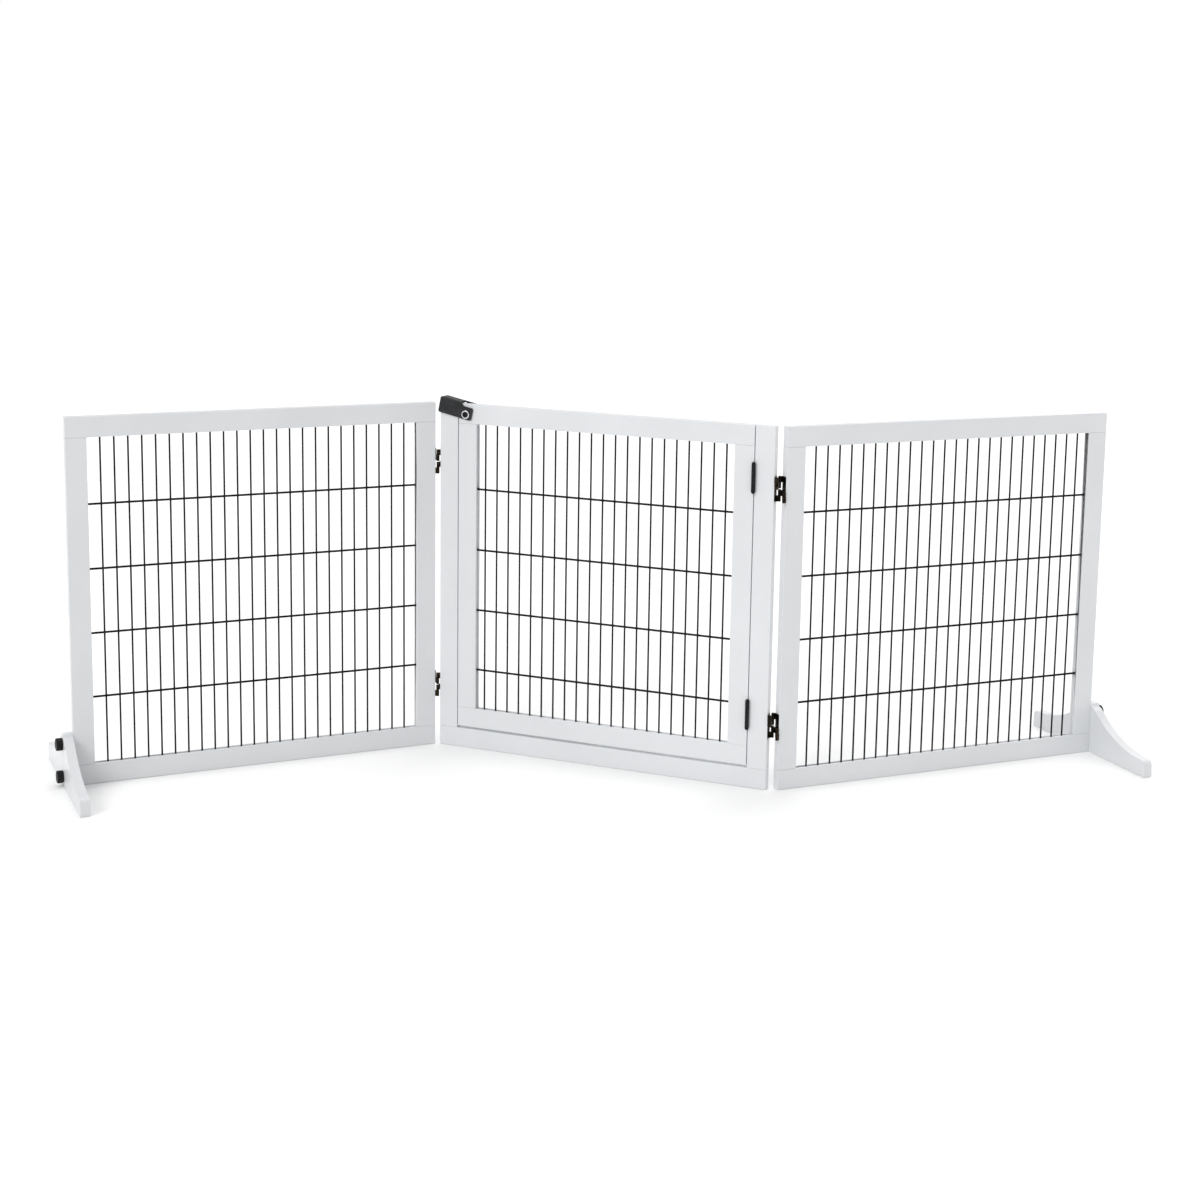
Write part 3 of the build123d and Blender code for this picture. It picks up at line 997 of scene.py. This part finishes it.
def add_latch_bar(pivot, low, high):
    """A long bar as wide as the latch, tilted with it, with its two upper arrises rounded."""
    turn = Matrix.Rotation(LATCH_TILT, 4, "Y")
    across = turn @ Z
    top = max((point - pivot).dot(across) for point in node_points("latch_saddle", MIDDLE))
    reach = (high - low).length
    bar = add_block(Vector((-reach, low.y, -reach)), Vector((reach, high.y, top)))

    def long_and_upper(first, second):
        return abs(first.x - second.x) > reach and first.z > 0 and second.z > 0

    select_edges(bar, long_and_upper)
    bpy.ops.mesh.bevel(offset=LATCH_BEND, segments=LATCH_BEND_STEPS)
    bpy.ops.object.mode_set(mode="OBJECT")
    bar.data.transform(Matrix.Translation(pivot) @ turn)
    return bar


def make_latch_saddle():
    """The saddle moulding, bent softly over its top and eased elsewhere."""
    pivot = MIDDLE.inverted() @ Vector(joints["latch_turn"]["pos_m"])
    low, high = local_box("latch_saddle", MIDDLE)
    saddle = clean_copy("latch_saddle", MIDDLE)
    bar = add_latch_bar(pivot, low, high)
    apply_modifier(saddle, "BOOLEAN", operation="INTERSECT", solver="EXACT", object=bar)
    bpy.data.objects.remove(bar)
    ease(saddle, LATCH_EDGE, segments=3)
    return finish_piece(
        saddle, "latch_saddle_moulding", MIDDLE, "latch", "black_latch", latch_plastic(),
        "latch_saddle",
    )


def make_latch_bolt():
    """The pivot bolt with a hexagon socket in its head."""
    low, high = local_box("latch_bolt", MIDDLE)
    bolt = clean_copy("latch_bolt", MIDDLE)
    middle = (low + high) / 2
    start = Vector((middle.x, low.y - CUT_SPARE, middle.z))
    end = Vector((middle.x, low.y + SOCKET_DEPTH, middle.z))
    cut_with(bolt, add_rod(SOCKET_RADIUS, start, end, SOCKET_SIDES))
    ease(bolt, BOLT_EDGE)
    return finish_piece(
        bolt, "latch_bolt_eased", MIDDLE, "door", "black_bolt", hinge_black(), "latch_bolt"
    )


class GATE_OT_latch(bpy.types.Operator):
    """Model the saddle latch, its bolt, ring and nut"""

    bl_idname = "pet_gate.latch"
    bl_label = "Latch"

    def execute(self, context):
        make_latch_saddle()
        for node, slot, material, edge in (
            ("latch_ring", "silver_ring", satin_silver(), RING_EDGE),
            ("latch_nut", "black_bolt", hinge_black(), NUT_EDGE),
        ):
            make_eased(node, "eased", "middle", "door", slot, material, edge, segments=3)
        make_latch_bolt()
        return {"FINISHED"}


# Fixings that stay as the frame has them


class GATE_OT_fixings(bpy.types.Operator):
    """Give the dowels, inserts, studs and screws their finishes"""

    bl_idname = "pet_gate.fixings"
    bl_label = "Fixings"

    def execute(self, context):
        for node, piece in frame["nodes"].items():
            if node.endswith("_dowels"):
                material = bare_beech()
            elif node.endswith("_inserts"):
                material = bare_brass()
            elif node.endswith("_stud"):
                material = zinc_plate()
            elif node.startswith("door_hinge") and node.endswith("_screws"):
                material = hinge_black()
            elif node.endswith("_screws"):
                material = antique_bronze()
            else:
                continue
            piece.data.materials.clear()
            piece.data.materials.append(material)
        return {"FINISHED"}


# Stage

FLOOR_SIZE = 40
FLOOR_DROP = 0.3 * MM
FLOOR_COLOUR = (0.93, 0.93, 0.93, 1)
WHITE = (1, 1, 1, 1)
LIGHT_GIVEN = 0.62
LIGHT_SHOWN = 1.0
SUNS = (
    ("key", (-2.4, -3.4, 3.2), 1.3, 30),
    ("top", (0, 0.3, 1), 0.9, 60),
    ("fill", (1.5, 3.0, 2.2), 0.7, 60),
)
CAMERA_PLACE = (0.0727, -3.2445, 1.0568)
CAMERA_DOWN = 9.035
CAMERA_ROLL = 1.064
CAMERA_LENS = 58.76
CAMERA_SENSOR = 36
CAMERA_SHIFT = (-0.0392, -0.1207)
CAMERA_REACH = 100


def add_sun(name, towards, strength, spread):
    """A soft, even light that comes from the direction towards; spread is its width in degrees."""
    data = bpy.data.lights.new(name, "SUN")
    data.energy = strength
    data.angle = radians(spread)
    light = bpy.data.objects.new(name, data)
    bpy.context.scene.collection.objects.link(light)
    light.matrix_world = Vector(towards).to_track_quat("Z", "Y").to_matrix().to_4x4()


def set_world(scene):
    """A white studio that gives off less light than it shows."""
    world = bpy.data.worlds.new("studio")
    scene.world = world
    world.use_nodes = True
    tree = world.node_tree
    lit = tree.nodes["Background"]
    lit.inputs["Color"].default_value = WHITE
    lit.inputs["Strength"].default_value = LIGHT_GIVEN
    seen = tree.nodes.new("ShaderNodeBackground")
    seen.inputs["Color"].default_value = WHITE
    seen.inputs["Strength"].default_value = LIGHT_SHOWN
    path = tree.nodes.new("ShaderNodeLightPath")
    mix = tree.nodes.new("ShaderNodeMixShader")
    tree.links.new(path.outputs["Is Camera Ray"], mix.inputs["Fac"])
    tree.links.new(lit.outputs["Background"], mix.inputs[1])
    tree.links.new(seen.outputs["Background"], mix.inputs[2])
    tree.links.new(mix.outputs["Shader"], tree.nodes["World Output"].inputs["Surface"])


class GATE_OT_stage(bpy.types.Operator):
    """Set up the floor, the lights and the camera"""

    bl_idname = "pet_gate.stage"
    bl_label = "Stage"

    def execute(self, context):
        scene = context.scene
        deselect()
        bpy.ops.mesh.primitive_plane_add(size=FLOOR_SIZE, location=(0, 0, -FLOOR_DROP))
        floor = settle(context.object)
        floor.name = "floor"
        material, _, shader = material_with_nodes("pale_floor")
        shader.inputs["Base Color"].default_value = FLOOR_COLOUR
        shader.inputs["Roughness"].default_value = 0.7
        shader.inputs["Specular IOR Level"].default_value = 0.2
        floor.data.materials.append(material)
        set_world(scene)
        for sun in SUNS:
            add_sun(*sun)
        scene.view_settings.view_transform = "Standard"
        data = bpy.data.cameras.new("camera")
        data.lens = CAMERA_LENS
        data.sensor_width = CAMERA_SENSOR
        data.shift_x, data.shift_y = CAMERA_SHIFT
        data.clip_end = CAMERA_REACH
        camera = bpy.data.objects.new("camera", data)
        scene.collection.objects.link(camera)
        camera.matrix_world = (
            Matrix.Translation(CAMERA_PLACE)
            @ Matrix.Rotation(radians(90 - CAMERA_DOWN), 4, "X")
            @ Matrix.Rotation(radians(CAMERA_ROLL), 4, "Z")
        )
        scene.camera = camera
        return {"FINISHED"}


# Panel and registration

STEPS = (
    "boards",
    "feet",
    "knobs",
    "wire_meshes",
    "door_hinges",
    "fold_hinges",
    "latch",
    "fixings",
    "stage",
)


class GATE_PT_panel(bpy.types.Panel):
    """Lists the gate's steps, sizes and colours"""

    bl_idname = "GATE_PT_panel"
    bl_label = "Pet Gate"
    bl_space_type = "VIEW_3D"
    bl_region_type = "UI"
    bl_category = "Pet Gate"

    def draw(self, context):
        for step in STEPS:
            self.layout.operator(f"pet_gate.{step}")
        for group in (context.scene.gate_sizes, context.scene.gate_colours):
            for name in group.__annotations__:
                self.layout.prop(group, name)


CLASSES = (
    GateSizes,
    GateColours,
    GATE_OT_boards,
    GATE_OT_feet,
    GATE_OT_knobs,
    GATE_OT_wire_meshes,
    GATE_OT_door_hinges,
    GATE_OT_fold_hinges,
    GATE_OT_latch,
    GATE_OT_fixings,
    GATE_OT_stage,
    GATE_PT_panel,
)


def register():
    for cls in CLASSES:
        bpy.utils.register_class(cls)
    bpy.types.Scene.gate_sizes = bpy.props.PointerProperty(type=GateSizes)
    bpy.types.Scene.gate_colours = bpy.props.PointerProperty(type=GateColours)


def unregister():
    del bpy.types.Scene.gate_colours
    del bpy.types.Scene.gate_sizes
    for cls in reversed(CLASSES):
        bpy.utils.unregister_class(cls)


def main():
    """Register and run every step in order."""
    register()
    for step in STEPS:
        getattr(bpy.ops.pet_gate, step)()


if __name__ == "__main__":
    main()
